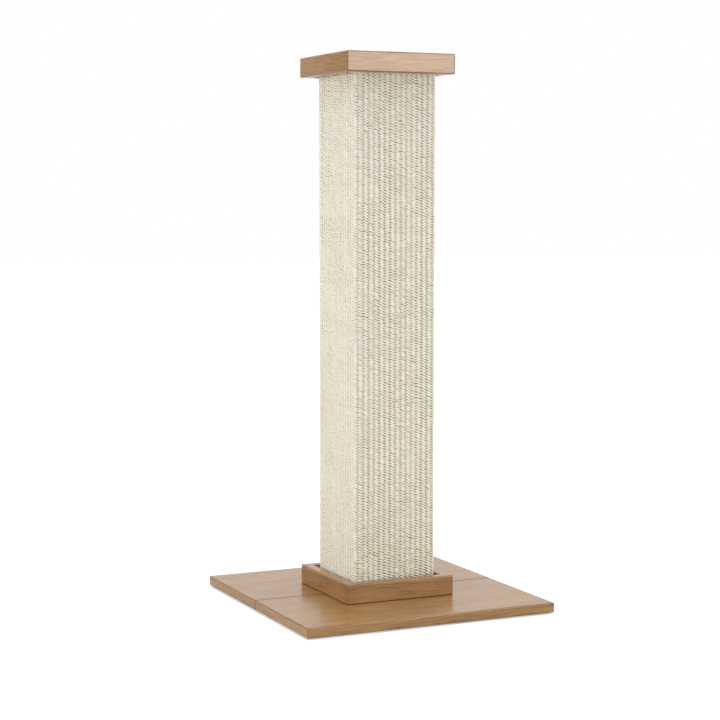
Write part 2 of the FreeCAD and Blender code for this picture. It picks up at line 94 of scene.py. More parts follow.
class MatSettings(bpy.types.PropertyGroup):
    row_pitch: FloatProperty(
        name="Row Pitch",
        description="Height of one row of stitches",
        default=4 * MM,
        unit="LENGTH",
    )
    yarn_height: FloatProperty(
        name="Yarn Height",
        description="Height of a stitch where it crosses the crest of a rib",
        default=3.85 * MM,
        unit="LENGTH",
    )
    yarn_depth: FloatProperty(
        name="Yarn Depth",
        description="Half the thickness of a stitch, out from the post",
        default=1.5 * MM,
        unit="LENGTH",
    )
    rib_drop: FloatProperty(
        name="Rib Drop",
        description="How far a stitch falls from the crest of its rib to the groove",
        default=0.92 * MM,
        unit="LENGTH",
    )
    tie_depth: FloatProperty(
        name="Tie Depth",
        description="Half the thickness of the ties in the grooves",
        default=0.85 * MM,
        unit="LENGTH",
    )
    backing_thickness: FloatProperty(
        name="Backing Thickness",
        description="Thickness of the cloth that the yarn is stitched to",
        default=1.6 * MM,
        unit="LENGTH",
    )
    seam_gap: FloatProperty(
        name="Seam Gap",
        description="Gap between the two edges of the mat down the rear",
        default=0.6 * MM,
        unit="LENGTH",
    )
    unevenness: FloatProperty(
        name="Unevenness",
        description="How unevenly the rows are laid, from none to that of hand work",
        default=1.0,
        min=0,
        max=2,
        subtype="FACTOR",
    )
    seed: IntProperty(
        name="Seed",
        description="Picks another draw of the yarn's unevenness",
        default=7,
        min=0,
    )
    yarn_colour: FloatVectorProperty(
        name="Yarn",
        description="Bleached sisal on the crests of the ribs",
        default=(0.95, 0.915, 0.82),
        subtype="COLOR",
    )
    straw_colour: FloatVectorProperty(
        name="Straw",
        description="Less bleached strands among the others",
        default=(0.88, 0.80, 0.61),
        subtype="COLOR",
    )
    # The ties' own tan, which is also the painted shade that stitches take on deep in the grooves.
    tie_and_groove_shade_colour: FloatVectorProperty(
        name="Groove",
        description="Yarn and ties down in the grooves",
        default=(0.90, 0.79, 0.55),
        subtype="COLOR",
    )
    backing_colour: FloatVectorProperty(
        name="Backing",
        description="Cloth behind the yarn",
        default=(0.52, 0.39, 0.21),
        subtype="COLOR",
    )


class WoodSettings(bpy.types.PropertyGroup):
    laminate_colour: FloatVectorProperty(
        name="Laminate",
        description="Brown of the wood-pattern laminate",
        default=(0.415, 0.218, 0.067),
        subtype="COLOR",
    )
    laminate_dark: FloatVectorProperty(
        name="Laminate Grain",
        description="Dark streaks of its printed grain",
        default=(0.17, 0.07, 0.017),
        subtype="COLOR",
    )
    laminate_roughness: FloatProperty(
        name="Laminate Roughness",
        description="Roughness of the semi-gloss surface",
        default=0.25,
        min=0,
        max=1,
        subtype="FACTOR",
    )
    board_colour: FloatVectorProperty(
        name="Raw Board",
        description="Fibreboard inside the post, the collar and the cap",
        default=(0.40, 0.285, 0.165),
        subtype="COLOR",
    )
    dowel_colour: FloatVectorProperty(
        name="Dowel",
        description="Beech dowels",
        default=(0.58, 0.39, 0.215),
        subtype="COLOR",
    )


class StudioSettings(bpy.types.PropertyGroup):
    camera_place: FloatVectorProperty(
        name="Camera",
        description="Where the camera stands",
        default=(-1.190, -2.528, 0.6165),
        unit="LENGTH",
    )
    camera_yaw: FloatProperty(
        name="Yaw",
        description="Heading of the camera, from +X towards +Y",
        default=math.radians(65.3),
        subtype="ANGLE",
    )
    camera_pitch: FloatProperty(
        name="Pitch",
        description="Tilt of the camera, down from level",
        default=math.radians(5.02),
        subtype="ANGLE",
    )
    focal_length: FloatProperty(
        name="Focal Length",
        description="Focal length on a 36 mm sensor",
        default=91.9,
        subtype="DISTANCE_CAMERA",
    )
    flag_place: FloatVectorProperty(
        name="Flag",
        description="Where the black flag stands that the glossy faces on the left mirror",
        default=(-0.833, 0.946, 0.6),
        unit="LENGTH",
    )
    flag_turn: FloatProperty(
        name="Flag Turn",
        description="Heading of the flag's width, from +X towards +Y",
        default=math.radians(23.6),
        subtype="ANGLE",
    )
    flag_size: FloatVectorProperty(
        name="Flag Size",
        description="Width and height of the flag",
        size=2,
        default=(0.6, 1.2),
        unit="LENGTH",
    )
    back_power: FloatProperty(
        name="Back",
        description="Power of the lamp behind the post",
        default=14.0,
        min=0,
        subtype="POWER",
    )
    side_power: FloatProperty(
        name="Side",
        description="Power of the lamp that lights the right side of the post",
        default=12.0,
        min=0,
        subtype="POWER",
    )
    ambient: FloatProperty(
        name="Ambient",
        description="Strength of the even light from all round",
        default=0.5,
        min=0,
    )
    key_power: FloatProperty(
        name="Key",
        description="Power of the large lamp at the left",
        default=22.0,
        min=0,
        subtype="POWER",
    )
    fill_power: FloatProperty(
        name="Fill",
        description="Power of the lamp at the right",
        default=5.0,
        min=0,
        subtype="POWER",
    )
    softbox_power: FloatProperty(
        name="Softbox",
        description="Power of the white panel that glossy faces on the right mirror",
        default=10.5,
        min=0,
        subtype="POWER",
    )
    top_power: FloatProperty(
        name="Top",
        description="Power of the lamp overhead",
        default=23.0,
        min=0,
        subtype="POWER",
    )


# Shader maths --------------------------------------------------------------------------------------


class Signal:
    """A socket's number, so that shader maths can be written as sums."""

    def __init__(self, graph, socket):
        self.graph = graph
        self.socket = socket

    def __add__(self, other):
        return self.graph.maths("ADD", self, other)

    def __sub__(self, other):
        return self.graph.maths("SUBTRACT", self, other)

    def __rsub__(self, other):
        return self.graph.maths("SUBTRACT", other, self)

    def __mul__(self, other):
        return self.graph.maths("MULTIPLY", self, other)

    def __gt__(self, other):
        return self.graph.maths("GREATER_THAN", self, other)

    def __abs__(self):
        return self.graph.maths("ABSOLUTE", self)

    __radd__ = __add__
    __rmul__ = __mul__


class Graph:
    """The nodes of one material or of the world."""

    def __init__(self, owner):
        owner.use_nodes = True
        self.tree = owner.node_tree
        self.tree.nodes.clear()

    def node(self, kind, settings=None, sockets=None):
        """Adds a node, sets its settings and then its sockets to values or links."""
        node = self.tree.nodes.new(kind)
        for name, value in (settings or {}).items():
            setattr(node, name, value)
        for key, value in (sockets or {}).items():
            if isinstance(value, Signal):
                self.tree.links.new(value.socket, node.inputs[key])
            else:
                node.inputs[key].default_value = value
        return node

    def signal(self, kind, output, settings=None, sockets=None):
        return Signal(self, self.node(kind, settings, sockets).outputs[output])

    def maths(self, operation, first, second=0.0):
        return self.signal("ShaderNodeMath", 0, {"operation": operation}, {0: first, 1: second})

    def smooth(self, value, low, high):
        """0 up to low, 1 from high on, and smooth between them."""
        return self.signal(
            "ShaderNodeMapRange",
            "Result",
            {"interpolation_type": "SMOOTHSTEP"},
            {"Value": value, "From Min": low, "From Max": high},
        )

    def blend(self, first, second, amount):
        """A colour from first to second."""
        colours = [c if isinstance(c, Signal) else (*c, 1) for c in (first, second)]
        sockets = {0: amount, 6: colours[0], 7: colours[1]}
        return self.signal("ShaderNodeMix", 2, {"data_type": "RGBA"}, sockets)

    def noise(self, vector, scale=1.0, detail=2.0, roughness=0.5):
        sockets = {"Vector": vector, "Scale": scale, "Detail": detail, "Roughness": roughness}
        return self.signal("ShaderNodeTexNoise", 0, None, sockets)

    def grain(self, place, lengthwise, crosswise, detail=1.0, roughness=0.5):
        """Noise drawn out along a board, at a place along it, across it and up. Its scales are in
        swings a metre."""
        run, side, level = place
        vector = self.join(run * lengthwise, side * crosswise, level * crosswise)
        return self.noise(vector, detail=detail, roughness=roughness)

    def place(self):
        return self.signal("ShaderNodeTexCoord", "Object")

    def facing(self):
        """The way that the surface faces, along X, Y and Z."""
        return self.split(self.signal("ShaderNodeTexCoord", "Normal"))

    def split(self, vector):
        node = self.node("ShaderNodeSeparateXYZ", None, {"Vector": vector})
        return [Signal(self, node.outputs[axis]) for axis in "XYZ"]

    def join(self, x, y, z):
        return self.signal("ShaderNodeCombineXYZ", "Vector", None, {"X": x, "Y": y, "Z": z})

    def bump(self, height, strength, distance):
        sockets = {"Height": height, "Strength": strength, "Distance": distance}
        return self.signal("ShaderNodeBump", "Normal", None, sockets)

    def surface(self, sockets):
        """Ends the material in a Principled shader."""
        shader = self.signal("ShaderNodeBsdfPrincipled", "BSDF", None, sockets)
        self.node("ShaderNodeOutputMaterial", None, {"Surface": shader})


def new_material(name):
    material = bpy.data.materials.new(name)
    return material, Graph(material)


def shade_of(colour, factor):
    """A darker or paler shade of a colour."""
    return [min(1.0, factor * c) for c in colour]


# Materials -----------------------------------------------------------------------------------------


def laminate(name, grain, settings, joints):
    """Wood-pattern laminate, semi-gloss, with its grain along "x" or "y". The bands on the ends of
    a board have theirs along the band. Its joints, "mitred" or "halved", show as dark lines:
    hairlines at the mitres, and painted shade where the half boards meet. Its rounded edges are
    darker, with painted shade on those that face down."""
    material, graph = new_material(name)
    x, y, z = graph.split(graph.place())
    along, across = (x, y) if grain == "x" else (y, x)
    facing_x, facing_y, _ = graph.facing()
    on_end = abs(facing_x if grain == "x" else facing_y) > 0.6
    run = along + (across - along) * on_end
    side = across + (along - across) * on_end
    wander = graph.grain((run, side, z), 9, 30)
    place = (run, side + (wander - 0.5) * (6 * MM), z)
    streaks = graph.grain(place, 24, 520, detail=3.0, roughness=0.65)
    figure = graph.grain(place, 5, 95)
    cloud = graph.grain(place, 12, 20)
    pores = graph.smooth(graph.grain(place, 110, 2100), 0.54, 0.7)
    streaked = graph.smooth(streaks, 0.36, 0.66) * 0.6
    figured = graph.smooth(figure, 0.35, 0.66) * 0.22
    clouded = (cloud - 0.5) * 0.4
    shade = streaked + figured + pores * 0.4 + clouded - 0.12
    colour = graph.blend(settings.laminate_colour, settings.laminate_dark, shade)
    # The dark colour for painted shade on the edges facing down and where the half boards meet, and
    # for the mitre hairlines.
    shadow = shade_of(settings.laminate_dark, 0.3)
    # Darker rounded edges, with painted shade on those that face down.
    colour = graph.blend(colour, shadow, dark_edges_and_shade(graph))
    if joints:
        # Dark joint lines: hairlines at the mitres, and painted shade where the half boards meet.
        colour = graph.blend(colour, shadow, joint_line_and_shade(graph, joints))
    rough = settings.laminate_roughness + streaks * 0.04 - 0.02 + pores * 0.03
    normal = graph.bump(streaks * 0.5 - pores, 0.12, 0.05 * MM)
    graph.surface({"Base Color": colour, "Roughness": rough, "IOR": 1.6, "Normal": normal})
    return material


def dark_edges_and_shade(graph):
    """How dark the rounded edges of a square board are: a little darker on all of them, and much
    darker on those that face down. The darkening on the edges that face down is painted shade, such
    as the contact line where the collar sits on the base. 0 on the flats."""
    facing_x, facing_y, facing_z = graph.facing()
    flattest = graph.maths("MAXIMUM", abs(facing_x), abs(facing_y))
    flattest = graph.maths("MAXIMUM", flattest, abs(facing_z))
    # Painted shade on the rounded edges that face down.
    below = 1 - graph.smooth(facing_z, -0.6, -0.2)
    return (1 - graph.smooth(flattest, 0.8, 0.97)) * (0.3 + below * 0.45)


def joint_line_and_shade(graph, joints):
    """How dark the joints are: for mitred rails, hairlines along the mitres; for half boards, painted
    shade of the groove between their eased edges where they meet, faint on their edges and full on
    top. 0 elsewhere."""
    x, y, _ = graph.split(graph.place())
    if joints == "mitred":
        hairline = 1 - graph.smooth(abs(abs(x) - abs(y)), 0.1 * MM, 0.4 * MM)
        return hairline * 0.35
    _, _, facing_z = graph.facing()
    # Painted shade of the groove where the half boards meet, full on top and faint on their edges.
    on_top = graph.smooth(facing_z, 0.1, 0.5)
    meeting = 1 - graph.smooth(abs(y), 0.8 * MM, 1.9 * MM)
    return meeting * (0.3 + on_top * 0.7)


def raw_board(settings):
    """Bare fibreboard: fine pressed fibres, and flecks of darker and paler ones."""
    material, graph = new_material("raw_fibreboard")
    place = graph.place()
    fibres = graph.noise(place, 900, 4, 0.7)
    flecks = graph.smooth(graph.noise(place, 1600, 2), 0.62, 0.72)
    cloud = graph.noise(place, 25, 3)
    dark = shade_of(settings.board_colour, 0.72)
    pale = shade_of(settings.board_colour, 1.35)
    colour = graph.blend(settings.board_colour, dark, graph.smooth(fibres, 0.35, 0.75))
    colour = graph.blend(colour, pale, flecks * 0.5 + (cloud - 0.5) * 0.3)
    normal = graph.bump(fibres, 0.35, 0.15 * MM)
    graph.surface({"Base Color": colour, "Roughness": 0.9, "Normal": normal})
    return material


def dowel_wood(settings):
    """Beech, with short dark flecks."""
    material, graph = new_material("beech_dowel")
    x, y, z = graph.split(graph.place())
    grain = graph.noise(graph.join(x * 260, y * 260, z * 900), 1, 3, 0.6)
    flecks = graph.smooth(graph.noise(graph.join(x * 900, y * 900, z * 2600)), 0.62, 0.7)
    dark = shade_of(settings.dowel_colour, 0.62)
    colour = graph.blend(settings.dowel_colour, dark, grain * 0.5 + flecks * 0.4)
    normal = graph.bump(grain, 0.2, 0.1 * MM)
    graph.surface({"Base Color": colour, "Roughness": 0.65, "Normal": normal})
    return material


def zinc_steel():
    """Zinc-plated steel, clouded and finely scratched."""
    material, graph = new_material("zinc_plated_steel")
    place = graph.place()
    cloud = graph.noise(place, 320, 3)
    scratches = graph.noise(place, 4200, 2, 0.7)
    bright = (0.60, 0.62, 0.64)
    dull = (0.42, 0.43, 0.44)
    colour = graph.blend(bright, dull, cloud)
    rough = 0.24 + cloud * 0.2
    normal = graph.bump(scratches, 0.12, 0.03 * MM)
    graph.surface({"Base Color": colour, "Metallic": 1.0, "Roughness": rough, "Normal": normal})
    return material


def pad_rubber():
    """Dark foam rubber with a fine open grain."""
    material, graph = new_material("pad_foam_rubber")
    cells = graph.noise(graph.place(), 1500, 3, 0.6)
    dark = (0.035, 0.035, 0.037)
    pale = (0.075, 0.073, 0.070)
    colour = graph.blend(dark, pale, cells)
    normal = graph.bump(cells, 0.5, 0.2 * MM)
    graph.surface({"Base Color": colour, "Roughness": 0.85, "Normal": normal})
    return material


def yarn(name, colours, tie=False):
    """Twisted sisal of two plies. The yarn map runs along the strand in U and round it in V, tone
    is each stitch's own shade, and depth is how far down in a groove it lies. Stitches take on the
    groove colour the deeper they lie, which is painted shade in the grooves; ties wear it all over as
    their own tan."""
    crest, straw, groove = colours
    material, graph = new_material(name)
    u, v, _ = graph.split(graph.signal("ShaderNodeUVMap", "UV", {"uv_map": "yarn"}))
    tone = graph.signal("ShaderNodeAttribute", "Fac", {"attribute_name": "tone"})
    depth = graph.signal("ShaderNodeAttribute", "Fac", {"attribute_name": "depth"})
    twist = v * 2 + u * 1.4
    plies = abs(graph.maths("SINE", twist * math.pi))
    fibres = graph.noise(graph.join(twist * 9, v * 3 - u * 2.2, tone * 40), 1, 3, 0.65)
    # The creases between the two plies are painted darker: painted shade, along with their bump.
    shade = graph.smooth(fibres, 0.32, 0.78) * 0.5 + (1 - plies) * 0.22 + (tone - 0.5) * 0.9
    colour = graph.blend(crest, straw, graph.smooth(shade, 0.0, 1.0))
    # Painted shade in the grooves: a stitch goes toward the groove colour the deeper it lies. A tie
    # wears that colour as its own.
    colour = graph.blend(colour, groove, 1.0 if tie else graph.smooth(depth, 0.25, 1.0))
    if tie:
        colour = graph.blend(colour, crest, graph.smooth(fibres, 0.45, 0.8) * 0.5)
    normal = graph.bump(plies * 0.7 + fibres * 0.6, 0.6, 0.35 * MM)
    graph.surface(
        {"Base Color": colour, "Roughness": 0.82, "Sheen Weight": 0.15, "Normal": normal}
    )
    return material


def backing_cloth(settings):
    """Plain-woven backing behind the yarn."""
    material, graph = new_material("mat_backing_cloth")
    u, v, _ = graph.split(graph.signal("ShaderNodeUVMap", "UV", {"uv_map": "cloth"}))
    threads_per_metre = 900
    warp = graph.maths("SINE", u * (threads_per_metre * math.pi))
    weft = graph.maths("SINE", v * (threads_per_metre * math.pi))
    over = warp * weft
    fibres = graph.noise(graph.place(), 1400, 3, 0.6)
    dark = shade_of(settings.backing_colour, 0.55)
    shade = graph.smooth(over, -0.8, 0.8) * 0.5 + fibres * 0.4
    colour = graph.blend(dark, settings.backing_colour, shade)
    normal = graph.bump(over, 0.4, 0.2 * MM)
    graph.surface({"Base Color": colour, "Roughness": 0.95, "Normal": normal})
    return material


def wear(node_names, material):
    """Gives CAD nodes a material."""
    for name in node_names:
        for slot in frame["nodes"][name].material_slots:
            slot.material = material


# Meshes --------------------------------------------------------------------------------------------


def numbers(items, name, width=1):
    """An attribute of every vertex, face or corner as an array."""
    found = np.empty(len(items) * width, np.float32)
    items.foreach_get(name, found)
    return found.reshape(-1, width) if width > 1 else found


def mark(mesh, name, values):
    """Writes a number on every point."""
    attribute = mesh.attributes.new(name, "FLOAT", "POINT")
    attribute.data.foreach_set("value", values.astype(np.float32))


def settle(piece, material, turn=0):
    """Makes a finished mesh a piece of the mat, turned to its side of the post."""
    piece.data.transform(Matrix.Rotation(turn * math.pi / 2, 4, "Z"))
    piece.data.materials.append(material)
    piece.data.polygons.foreach_set("use_smooth", np.ones(len(piece.data.polygons), bool))
    piece.data.update()
    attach(piece, BODY)
    return piece


def link(name, mesh):
    piece = bpy.data.objects.new(name, mesh)
    bpy.context.scene.collection.objects.link(piece)
    return piece


# Yarn: one stitch, then rows and ribs of them ------------------------------------------------------


def one_strand(name, stations, section, spot):
    """A closed length of yarn. A cylinder is cut into one ring per station, and spot(station,
    angle) says where each point of a ring goes. Its yarn map runs along it and round it."""
    bm = bmesh.new()
    bmesh.ops.create_cone(bm, cap_ends=True, segments=len(section), radius1=1, radius2=1, depth=2)
    lengthwise = [edge for edge in bm.edges if abs(edge.verts[0].co.z - edge.verts[1].co.z) > 1]
    bmesh.ops.subdivide_edges(bm, edges=lengthwise, cuts=len(stations) - 2)
    places = {}
    for vert in bm.verts:
        ring = round((vert.co.z + 1) / 2 * (len(stations) - 1))
        spoke = round(math.atan2(vert.co.y, vert.co.x) / math.tau * len(section)) % len(section)
        places[vert] = (ring, spoke)
    yarn_map = bm.loops.layers.uv.new("yarn")
    bake_map = bm.loops.layers.uv.new("OFBake")
    for face in bm.faces:
        spokes = [places[vert][1] for vert in face.verts]
        wraps = len(face.verts) == 4 and max(spokes) - min(spokes) > 1
        for loop in face.loops:
            ring, spoke = places[loop.vert]
            turn = 1 if wraps and spoke == 0 else section[spoke] / 360
            loop[yarn_map].uv = loop[bake_map].uv = (ring / (len(stations) - 1), turn)
    for vert, (ring, spoke) in places.items():
        vert.co = spot(stations[ring], math.radians(section[spoke]))
    bmesh.ops.recalc_face_normals(bm, faces=bm.faces)
    mesh = bpy.data.meshes.new(name)
    bm.to_mesh(mesh)
    bm.free()
    return mesh


def arrayed(name, mesh, rows, pitch, columns, width):
    """Rows of a strand upwards, and columns of those rows along X, as one new mesh."""
    piece = link(name, mesh)
    for count, step in ((rows, (0, 0, pitch)), (columns, (width, 0, 0))):
        array = piece.modifiers.new("array", "ARRAY")
        array.count = count
        array.use_relative_offset = False
        array.use_constant_offset = True
        array.constant_offset_displace = step
    depsgraph = bpy.context.evaluated_depsgraph_get()
    seen = piece.evaluated_get(depsgraph)
    whole = bpy.data.meshes.new_from_object(
        seen, preserve_all_data_layers=True, depsgraph=depsgraph
    )
    piece.modifiers.clear()
    piece.data = whole
    bpy.data.meshes.remove(mesh)
    return piece


class Weave:
    """Where the rows of the mat lie, and how unevenly."""

    # How far a stitch strays by itself: in height and lean, as shares, and in place and tone.
    SWELL = 0.05
    LEAN = 0.04
    OUT = 0.13 * MM
    UP = 0.14 * MM
    TONE = 0.25

    # The share of stitches that are much more like straw, and by how much.
    STRAW_SHARE = 0.05
    STRAW_TONE = 0.3

    # How far the longest sway carries columns to the side, and rows up and down.
    SWAY_ALONG = 0.2 * MM
    SWAY_UP = 0.9 * MM
    # The lengths of the sways up the post, and the size of each as a share of the last.
    SWAY_LENGTHS = (0.34, 0.15, 0.07)
    SWAY_FALL = 0.6
    # How far apart in a sway neighbours are, in radians, and how far each whole column is
    # shifted, as a share of the longest sway.
    SWAY_STEP = 1.2
    COLUMN_SHIFT = 1.7
    # Rows grow level over this distance from the ends of the mat.
    LEVEL_ENDS = 0.02

    # How far a staple presses the yarn in, and how far above and below itself.
    PRESS_DEPTH = 1.35 * MM
    PRESS_SPREAD = 3 * MM

    def __init__(self, settings):
        self.settings = settings
        self.margin = settings.row_pitch
        self.rows = int((MAT_HIGH.z - MAT_LOW.z - 2 * self.margin) / settings.row_pitch) + 1
        self.pitch = (MAT_HIGH.z - MAT_LOW.z - 2 * self.margin) / (self.rows - 1)

    def level(self, row):
        return MAT_LOW.z + self.margin + row * self.pitch

    def draws(self, name):
        """The piece's own random numbers, the same in each run."""
        return np.random.default_rng([self.settings.seed, *name.encode()])

    def sway(self, name, places, levels, size):
        """A shift of each column at these places, and a slow sway along it. Neighbours share some."""
        draws = self.draws(name)
        grooves = np.arange(-1, RIBS_PER_SIDE + 2) * RIB_WIDTH - FLAT_HALF
        shift = draws.normal(0, self.COLUMN_SHIFT * size, len(grooves))
        total = np.interp(places, grooves, shift)[:, None] + 0 * levels
        for length in self.SWAY_LENGTHS:
            start = draws.uniform(0, math.tau)
            walk = start + np.cumsum(draws.normal(0, self.SWAY_STEP, len(grooves)))
            phase = np.interp(places, grooves, walk)
            total += size * np.sin(levels / length * math.tau + phase[:, None])
            size *= self.SWAY_FALL
        return total

    def stir(self, piece, side, columns, first_column, presses=()):
        """Shifts, leans and swells each stitch a little, gives it its own tone, and presses it down
        under the staples. A column's X runs along its side of the post, and -Y points out."""
        draws = self.draws(piece.name)
        uneven = self.settings.unevenness
        mesh = piece.data
        count = columns * self.rows
        co = numbers(mesh.vertices, "co", 3).astype(float).reshape(columns, self.rows, -1, 3)
        levels = self.level(np.arange(self.rows))
        places = first_column + np.arange(columns) * RIB_WIDTH
        middles = places[:, None] + 0 * levels
        centre = np.stack([middles, 0 * middles - POST_HALF, levels + 0 * middles], -1)[:, :, None]
        local = co - centre
        shape = (columns, self.rows, 1)
        local[..., 2] *= 1 + uneven * draws.normal(0, self.SWELL, shape)
        local[..., 2] += local[..., 0] * uneven * draws.normal(0, self.LEAN, shape)
        local[..., 1] += uneven * draws.normal(0, self.OUT, shape)
        aside = self.sway(side + "_along", places, levels, self.SWAY_ALONG * uneven)
        local[..., 0] += aside[..., None]
        rise = self.sway(side + "_up", places, levels, self.SWAY_UP * uneven)
        rise += uneven * draws.normal(0, self.UP, rise.shape)
        above_foot = np.minimum(1, (levels - levels[0]) / self.LEVEL_ENDS)
        below_head = np.minimum(1, (levels[-1] - levels) / self.LEVEL_ENDS)
        local[..., 2] += (rise * (above_foot * below_head))[..., None]
        for along, level, reach in presses:
            near = np.exp(-(((levels - level) / self.PRESS_SPREAD) ** 2))
            near = near * (abs(middles - along) < reach)
            local[..., 1] += (self.PRESS_DEPTH * near)[..., None]
        mesh.vertices.foreach_set("co", (local + centre).astype(np.float32).ravel())
        tone = 0.5 + draws.normal(0, self.TONE, count)
        tone = tone + self.STRAW_TONE * (draws.random(count) < self.STRAW_SHARE)
        mark(mesh, "tone", np.repeat(np.clip(tone, 0, 1), len(mesh.vertices) // count))
        self.spread_maps(mesh, columns, draws)

    def spread_maps(self, mesh, columns, draws):
        """Gives each stitch its own cell of the bake map, and its own stretch of yarn."""
        shape = (columns, self.rows, -1, 2)
        bake = numbers(mesh.uv_layers["OFBake"].data, "uv", 2).reshape(shape)
        cells = np.stack(np.meshgrid(np.arange(columns), np.arange(self.rows), indexing="ij"), -1)
        border = 0.04
        filled = 0.92
        bake = (cells[:, :, None] + border + filled * bake) / (columns, self.rows)
        mesh.uv_layers["OFBake"].data.foreach_set("uv", bake.astype(np.float32).ravel())
        own = numbers(mesh.uv_layers["yarn"].data, "uv", 2).reshape(shape)
        own = own + draws.uniform(0, 50, (columns, self.rows, 1, 1)) * (1, 0)
        mesh.uv_layers["yarn"].data.foreach_set("uv", own.astype(np.float32).ravel())


# Where a stitch's rings stand, from its left end at -1 to its right end at 1, and the degrees
# round each ring from straight out, at which its points are.
STITCH_STATIONS = (-1, -0.74, -0.28, 0.28, 0.74, 1)
STITCH_SECTION = (0, 46, 96, 180, 264, 314)
# How much steeper than its mean a stitch is at its middle and its ends, and how much gentler
# halfway between them.
STEEPENING = 1.0
# How much thinner than its middle a stitch is at its ends.
STITCH_THINNING = 0.48


def rib_stitch(weave):
    """One stitch over a rib: it rises out of the groove on the left, crosses the crest and goes
    down into the next groove a row lower."""
    settings = weave.settings
    crest = POST_HALF - settings.yarn_depth

    def spot(station, angle):
        lean = station + STEEPENING * math.sin(math.tau * station) / math.tau
        plump = 1 - STITCH_THINNING * abs(station) ** 3
        out = crest - settings.rib_drop * abs(station) ** 2.2
        out += math.cos(angle) * settings.yarn_depth * plump
        rise = math.sin(angle) * settings.yarn_height / 2 * plump
        return Vector((station * RIB_WIDTH / 2, -out, rise - lean * weave.pitch / 2))

    return one_strand("rib_stitch", STITCH_STATIONS, STITCH_SECTION, spot)


# The same for a tie, from its lower end to its upper end.
TIE_STATIONS = (-1, -0.35, 0.35, 1)
TIE_SECTION = (0, 60, 130, 230, 300)
TIE_THINNING = 0.45
# How far the middle of a tie stands out over the ends of the stitches, and how far it slants.
TIE_STAND = 0.75 * MM
TIE_SLANT = 0.25 * MM


def groove_tie(weave):
    """One tie in a groove: a short thread that holds down the ends of two stitches where they
    meet, half a row above the middle of its row, and leaves a hole below it."""
    depth = weave.settings.tie_depth
    level = POST_HALF - weave.settings.rib_drop - weave.settings.yarn_depth + TIE_STAND

    def spot(station, angle):
        plump = 1 - TIE_THINNING * station**2
        out = level - 1.1 * depth * station**2 + math.cos(angle) * depth * plump
        side = math.sin(angle) * 1.1 * depth * plump + TIE_SLANT * station
        return Vector((side, -out, (0.5 + 0.3 * station) * weave.pitch))

    return one_strand("groove_tie", TIE_STATIONS, TIE_SECTION, spot)


def mark_depth(mesh):
    """How deep each point of the yarn lies in the grooves, from 0 on the crests to 1."""
    full_depth = 3.2 * MM
    out = -numbers(mesh.vertices, "co", 3)[:, 1]
    mark(mesh, "depth", np.clip((POST_HALF - out) / full_depth, 0, 1))


# The frame's staples: their places along each side, how many go down the seam, the thickness of
# their wire, and how far along the side each one presses the yarn.
END_STAPLES = (-40 * MM, 0, 40 * MM)
SEAM_STAPLES = 11
STAPLE_WIRE = 1.2 * MM
STAPLE_REACH = 8 * MM


def staple_presses(side):
    """Where staples press the yarn on one side, as place along it, level and reach."""
    presses = []
    for name in ("foot_staples", "head_staples"):
        low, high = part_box(name)
        level = (low.z + high.z) / 2
        presses += [(along, level, STAPLE_REACH) for along in END_STAPLES]
    if side == "rear":
        low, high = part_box("seam_staples")
        levels = np.linspace(low.z + STAPLE_WIRE / 2, high.z - STAPLE_WIRE / 2, SEAM_STAPLES)
        presses += [(0, level, STAPLE_REACH) for level in levels]
    return presses


def lay_columns(kind, side, strand, weave, columns, first, presses=()):
    """Columns of a strand on the front, the first at this place along it."""
    strand.transform(Matrix.Translation((first, 0, weave.level(0))))
    name = f"sisal_{kind}_{side}"
    piece = arrayed(name, strand, weave.rows, weave.pitch, columns, RIB_WIDTH)
    weave.stir(piece, side, columns, first, presses)
    mark_depth(piece.data)
    return piece


def bend_round_corner(mesh):
    """Bends a column that stands at the middle of the front round the corner on its right."""
    co = numbers(mesh.vertices, "co", 3).astype(float)
    angle = math.pi / 4 * (1 + co[:, 0] / (RIB_WIDTH / 2))
    radius = -co[:, 1] - FLAT_HALF
    co[:, 0] = FLAT_HALF + radius * np.sin(angle)
    co[:, 1] = -FLAT_HALF - radius * np.cos(angle)
    mesh.vertices.foreach_set("co", co.astype(np.float32).ravel())


def without_column(piece, columns, column):
    """Takes one column of strands out."""
    bm = bmesh.new()
    bm.from_mesh(piece.data)
    bm.verts.ensure_lookup_table()
    share = len(bm.verts) // columns
    bmesh.ops.delete(bm, geom=bm.verts[column * share : (column + 1) * share], context="VERTS")
    bm.to_mesh(piece.data)
    bm.free()


# Backing -------------------------------------------------------------------------------------------


CORNER_STEPS = 6
HEIGHT_STEPS = 60
# Room between the core and the cloth.
CORE_CLEARANCE = 0.3 * MM


def wrap_stations(reach, radius):
    """Points round a rounded square, from the seam at the middle of the rear and back to it, as
    distance walked and place."""
    spots = [Vector((0, reach + radius))]
    for quarter in range(4):
        turn = Matrix.Rotation(-quarter * math.pi / 2, 2)
        for step in range(CORNER_STEPS + 1):
            angle = math.pi / 2 * (1 - step / CORNER_STEPS)
            spot = Vector((reach + radius * math.cos(angle), reach + radius * math.sin(angle)))
            spots.append(turn @ spot)
    spots.append(spots[0])
    walked = [0.0]
    for start, end in zip(spots, spots[1:]):
        walked.append(walked[-1] + (end - start).length)
    return walked, spots


